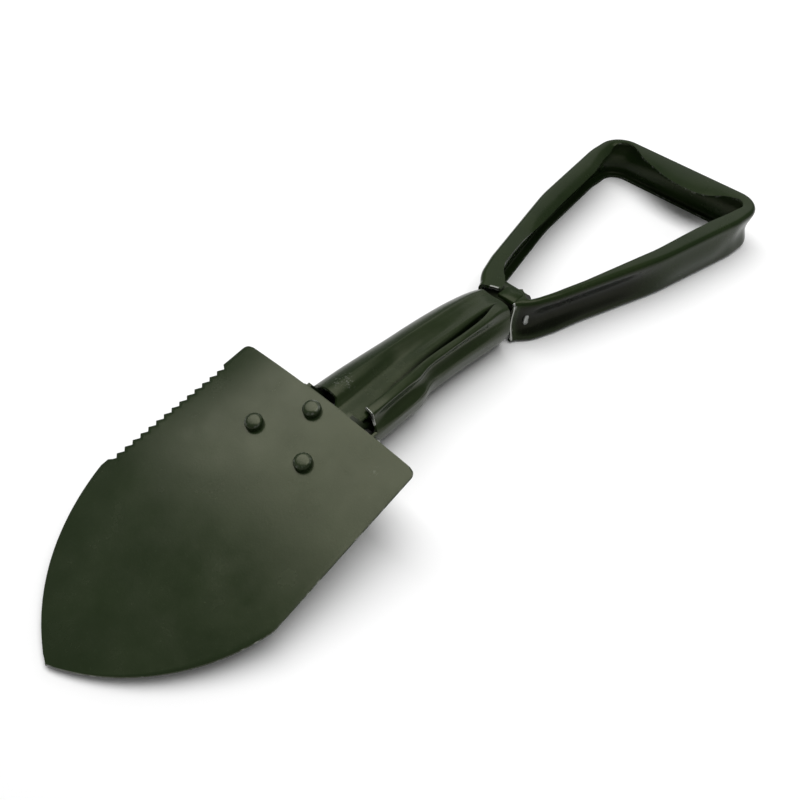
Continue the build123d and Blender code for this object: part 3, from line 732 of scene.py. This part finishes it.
def make_guide(node):
    """Plate across the inside of the shaft, with a slot for the lock bar."""
    low, high = box_mm(node)
    bar_low, bar_high = box_mm("lock_bar")
    slot_gap, wall = 0.3, SHAFT_SHEET + 0.25
    section = curve_through(shaft_section((low[1] + high[1]) / 2 - REAR_Y), 5)
    step = np.gradient(section, axis=0)
    step /= np.linalg.norm(step, axis=1, keepdims=True)
    inside = section + np.stack([-step[:, 1], step[:, 0]], axis=1) * wall
    last = len(inside) - 1
    while inside[last, 0] < inside[0, 0]:
        last -= 1
    outline = [Vector((x, 0, z)) for x, z in inside[:last + 1]]
    half, reach = bar_high[0] + slot_gap, slot_gap + (bar_high[2] - bar_low[2]) / 2
    slot = [
        Vector((side * half, 0, PIN_Z + lift * reach))
        for side, lift in ((-1, -1), (-1, 1), (1, 1), (1, -1))
    ]
    flat = [tuple(p) for p in outline + slot]
    count = len(flat)
    points = [(x, y, z) for y in (low[1], high[1]) for x, _, z in flat]
    faces = []
    for a, b, c in tessellate_polygon([outline, slot]):
        faces += [(a, b, c), (c + count, b + count, a + count)]
    for start, size in ((0, len(outline)), (len(outline), len(slot))):
        for k in range(size):
            a, b = start + k, start + (k + 1) % size
            faces.append((a, b, b + count, a + count))
    guide = make_mesh(node + "_plate", points, faces, plain_steel)
    recalculate(guide)
    settle(guide, "shaft", "plain_steel", node)


def recalculate(obj):
    """Turns all faces outwards."""
    shape = bmesh.new()
    shape.from_mesh(obj.data)
    bmesh.ops.recalc_face_normals(shape, faces=shape.faces)
    shape.to_mesh(obj.data)
    shape.free()


# ------------------------------------------------------------------ handle
def handle_path():
    """Outer face of the handle seen from above, from the right leg's front end to the left's."""
    right = (
        (NECK_HALF, NOSE_Y),
        (NECK_HALF + 1.4, NOSE_Y + 3.0),
        (PIN_HALF, PIN_Y - 1.5),
        (SHOULDER_HALF, PIN_Y + SHOULDER_RUN),
        (KNEE_HALF, PIN_Y + KNEE_RUN),
        (GRIP_HALF - 1.4, PIN_Y + LEG_RUN),
        (GRIP_HALF - 1.0, GRIP_Y + GRIP_PROUD),
    )
    left = tuple((-x, y) for x, y in reversed(right))
    radii = (3.0, 24.0, 30.0, 120.0, 40.0, GRIP_CORNER)
    return rounded_path(right + left, radii + tuple(reversed(radii)), 14, 2.0)


def leg_flange(back, right_leg):
    """Top flange width of a leg by distance behind the blade's rear edge."""
    if right_leg:
        at = (110.4, 115.6, 115.8, 120.0, 126.0, 134.0, 148.0, 185.0, 215.0, 232.0, 245.0, 262.0)
        widths = (10.75, 10.75, 2.8, 3.2, 3.4, 4.0, 4.3, 7.2, 8.6, 9.1, 8.6, 6.6)
    else:
        at = (110.4, 114.0, 117.7, 124.0, 129.0, 150.0, 190.0, 230.0, 262.0)
        widths = (10.75, 11.6, 11.4, 9.6, 8.2, 8.6, 11.4, 11.4, 7.0)
    return float(np.interp(back, at, widths))


def grip_flange(x):
    """Top flange width of the grip across X: narrow in the corners, wide right of the middle."""
    at = (-GRIP_HALF, -42, -37, -31, -23, -13, 2, 10, 18, 24, 29, 36, GRIP_HALF)
    widths = (6.4, 4.6, 4.2, 5.6, 10.0, 13.2, 16.8, 17.2, 16.4, 13.6, 10.0, 7.6, 6.6)
    return float(smooth_table(x, at, widths))


def handle_section(width_top, width_bottom, hollow, drop, belly):
    """Section of the channel as (inward, z) points, from the top flange's edge to the bottom's."""
    r = EDGE_ROUND
    points = []
    for share in np.linspace(1, 0, 12):
        inward = r + (width_top - r) * share
        points.append((inward, HANDLE_HEIGHT - drop * share**2))
    for angle in np.linspace(0, pi / 2, 7)[1:]:
        points.append((r - r * sin(angle), HANDLE_HEIGHT - r + r * cos(angle)))
    low, high = r, HANDLE_HEIGHT - r
    for share in np.linspace(0, 1, 18)[1:-1]:
        trough = sin(pi * share) ** 1.5
        points.append((hollow * trough - belly * sin(pi * share) ** 2, high + (low - high) * share))
    for angle in np.linspace(0, pi / 2, 7):
        points.append((r - r * cos(angle), r - r * sin(angle)))
    for share in np.linspace(0, 1, 10)[1:]:
        points.append((r + (width_bottom - r) * share, 0.0))
    return np.array(points)


def make_handle():
    """Pressed channel bent into a D, with a tab across the front of each leg."""
    path = handle_path()
    tangent = np.gradient(path, axis=0)
    tangent /= np.linalg.norm(tangent, axis=1, keepdims=True)
    inward = np.stack([-tangent[:, 1], tangent[:, 0]], axis=1)
    rows = []
    corner_start = GRIP_Y - GRIP_CORNER
    for place, side in zip(path, inward):
        back = place[1] - REAR_Y
        right_leg = place[0] > 0
        turned_in = smoothstep(place[1], corner_start - 4, GRIP_Y - 1.0)
        leg = leg_flange(back, right_leg)
        width = leg * (1 - turned_in) + grip_flange(place[0]) * turned_in
        limit = abs(place[0]) - 0.25 if back < 118 else 99.0
        width = min(width, limit)
        if right_leg:
            hollow = smooth_table(
                back, (110, 116, 120, 128, 150, 175, 192, 215, 240, 256, 270),
                (1.0, 1.6, 2.2, 3.0, 3.2, 2.6, 0.6, 0.0, 0.3, 1.6, 2.4),
            )
            belly = 0.9 * smoothstep(back, 185, 205) * (1 - smoothstep(back, 228, 248))
        else:
            hollow = smooth_table(
                back, (110, 116, 120, 135, 160, 200, 256, 270), (1.0, 1.6, 2.2, 2.6, 1.4, 0.8, 1.6, 2.4)
            )
            belly = 0.0
        bottom = 5.6 - 1.2 * float(turned_in)
        bottom = min(bottom, 1.2 + 0.5 * max(back - 108.4, 0))
        drop = 0.3 + 1.6 * float(turned_in) * smoothstep(width, 6, 17)
        if not right_leg:
            drop += 3.2 * smoothstep(back, 140, 180) * (1 - float(turned_in))
        section = handle_section(width, max(bottom, 2.7), float(hollow), float(drop), float(belly))
        flare = 1.6 * (1 - float(smoothstep(back, 118, 150))) if right_leg else 0.0
        rows.append(
            [(*(place + side * (n - flare * (1 - smoothstep(z, 0.0, 9.0)))), z) for n, z in section]
        )
    grid = np.array(rows)
    grid[:, :, 0] += HANDLE_SKEW * (grid[:, :, 1] - NOSE_Y)
    rim = np.ones(grid.shape[:2])
    rim[0, :36] = BARE
    rim[-1, 2:8] = BARE
    normals = surface_normals(grid)
    sign = 1.0 if normals[8, 24, 0] < 0 else -1.0
    inner = grid + normals * sign * HANDLE_SHEET
    points, faces, wear_and_shade = sheet_shell(grid, inner, swell=0.2, rim_wear=rim)
    # Painted shade: the hollow of the right leg's web is darkened through negative wear values.
    shade = trough_shade(grid)
    wear_and_shade[:shade.size] -= shade
    handle = make_mesh("handle_channel", points, faces, handle_paint, wear_and_shade)
    settle(handle, "handle", "handle_paint", "handle_frame")


def trough_shade(grid):
    """Painted shade in the hollow of the right leg's web: 1 in its middle, 0 elsewhere."""
    x, back, z = grid[:, :, 0], grid[:, :, 1] - REAR_Y, grid[:, :, 2]
    along = smoothstep(back, 111, 116) * (1 - smoothstep(back, 165, 205))
    up = smoothstep(z, 1.5, 6.0) * (1 - smoothstep(z, HANDLE_HEIGHT - 4.0, HANDLE_HEIGHT - 0.5))
    return (along * up * (x > 0)).reshape(-1)


def rounded_plate(low, high, round_radius, top, thickness, name, material):
    """Flat plate between two corners (x, y), its rear corners rounded."""
    outline = [np.array(low), np.array((high[0], low[1]))]
    for centre_x, first in ((high[0] - round_radius, 0.0), (low[0] + round_radius, pi / 2)):
        for step in range(7):
            angle = first + pi / 2 * step / 6
            outline.append(np.array((centre_x, high[1] - round_radius))
                           + round_radius * np.array((cos(angle), sin(angle))))
    middle = sum(outline) / len(outline)
    levels = ((0.6, top), (0.0, top - 0.45), (0.0, top - thickness))
    points, faces, count = [], [], len(outline)
    for inset, z in levels:
        for p in outline:
            toward = middle - p
            points.append((*(p + toward / np.linalg.norm(toward) * inset), z))
    for level in range(len(levels) - 1):
        for k in range(count):
            a, b = level * count + k, level * count + (k + 1) % count
            faces.append((b, a, a + count, b + count))
    faces.append(tuple(range(count)))
    faces.append(tuple(range(3 * count - 1, 2 * count - 1, -1)))
    return make_mesh(name, points, faces, material, crease=50)


def make_handle_tab():
    """End of the tab that is folded across the top at the handle's front."""
    low = (0.35, NOSE_Y + 0.6)
    high = (NECK_HALF - 1.0, NOSE_Y + TAB_LENGTH)
    top = HANDLE_HEIGHT + TAB_PROUD
    tab = rounded_plate(low, high, TAB_ROUND, top, TAB_SHEET, "handle_tab", handle_paint)
    settle(tab, "handle", "handle_paint")


def make_handle_pin():
    """Handle pin with two low domed heads, peened in the middle."""
    head, shank = PIN_HEAD_RADIUS, PIN_SHANK_RADIUS
    x = grip_pin_high[0] + PIN_PROUD
    profile = (
        (0, -x + 0.35), (1.2, -x + 0.3), (1.7, -x + 0.05), (head - 0.9, -x + 0.1), (head, -x + 0.7),
        (head, -x + 1.4), (shank, -x + 1.45), (shank, x - 1.45), (head, x - 1.4), (head, x - 0.7),
        (head - 0.9, x - 0.1), (1.7, x - 0.05), (1.2, x - 0.3), (0, x - 0.35),
    )
    place = Matrix.Translation((0, PIN_Y, PIN_Z)) @ Matrix.Rotation(pi / 2, 4, "Y")
    pin = turned("handle_pin_peened", profile, place, zinc_steel)
    settle(pin, "handle", "zinc_steel", "handle_pin")


make_blade()
make_blade_rivets()
make_shaft()
make_guide("front_guide")
make_guide("rear_guide")
make_handle()
make_handle_tab()
make_handle_pin()


# ------------------------------------------------------------------ floor, light and camera
CAMERA_PLACE = (0.19129, -0.23055, 0.30923)      # metres
CAMERA_AZIMUTH = -0.73955                        # radians, from +Y towards +X
CAMERA_DOWN = 0.82821
CAMERA_ROLL = 0.03355
CAMERA_LENS = 41.29                              # millimetres
CAMERA_SENSOR = 36.0
FLOOR_HALF = 4.0                                 # metres
WORLD_STRENGTH = 0.26


def make_floor():
    """Flat pale floor for the shovel to lie on."""
    mesh = bpy.data.meshes.new("floor")
    around = ((-1, -1), (1, -1), (1, 1), (-1, 1))
    mesh.from_pydata([(FLOOR_HALF * x, FLOOR_HALF * y, 0) for x, y in around], [], [(0, 1, 2, 3)])
    n = Nodes("floor_paper")
    tone = n.mix(n.noise(3.0, 2.0), (0.93, 0.93, 0.93, 1), (0.96, 0.96, 0.96, 1))
    mesh.materials.append(n.surface(Base_Color=tone, Roughness=0.75))
    floor = bpy.data.objects.new("floor", mesh)
    bpy.context.scene.collection.objects.link(floor)


def area_light(name, place, target, size, power):
    """Rectangular soft light aimed at a point, places in metres."""
    light = bpy.data.lights.new(name, "AREA")
    light.shape, light.energy = "RECTANGLE", power
    light.size, light.size_y = size
    obj = bpy.data.objects.new(name, light)
    obj.location = place
    obj.rotation_euler = (Vector(target) - Vector(place)).to_track_quat("-Z", "Y").to_euler()
    bpy.context.scene.collection.objects.link(obj)


def make_camera():
    """Camera over the shovel's right front, looking down at it."""
    camera = bpy.data.cameras.new("camera")
    camera.lens, camera.sensor_width = CAMERA_LENS, CAMERA_SENSOR
    obj = bpy.data.objects.new("camera", camera)
    obj.location = CAMERA_PLACE
    level = cos(CAMERA_DOWN)
    look = Vector((sin(CAMERA_AZIMUTH) * level, cos(CAMERA_AZIMUTH) * level, -sin(CAMERA_DOWN)))
    turn = look.to_track_quat("-Z", "Y").to_matrix().to_4x4()
    obj.rotation_euler = (turn @ Matrix.Rotation(CAMERA_ROLL, 4, "Z")).to_euler()
    bpy.context.scene.collection.objects.link(obj)
    bpy.context.scene.camera = obj


def make_light():
    """Dim room with a long soft box overhead and a weaker one behind the handle."""
    world = bpy.data.worlds.new("studio")
    world.use_nodes = True
    background = world.node_tree.nodes["Background"]
    background.inputs["Color"].default_value = (1.0, 1.0, 1.0, 1)
    background.inputs["Strength"].default_value = WORLD_STRENGTH
    bpy.context.scene.world = world
    area_light("overhead", (-0.28, 0.2, 1.3), (-0.28, 0.2, 0), (2.1, 0.88), 22.5)
    area_light("rear", (-0.55, 1.35, 1.0), (-0.1, 0.2, 0), (1.4, 0.8), 3.0)


make_floor()
make_light()
make_camera()
bpy.context.scene.view_settings.view_transform = "Standard"
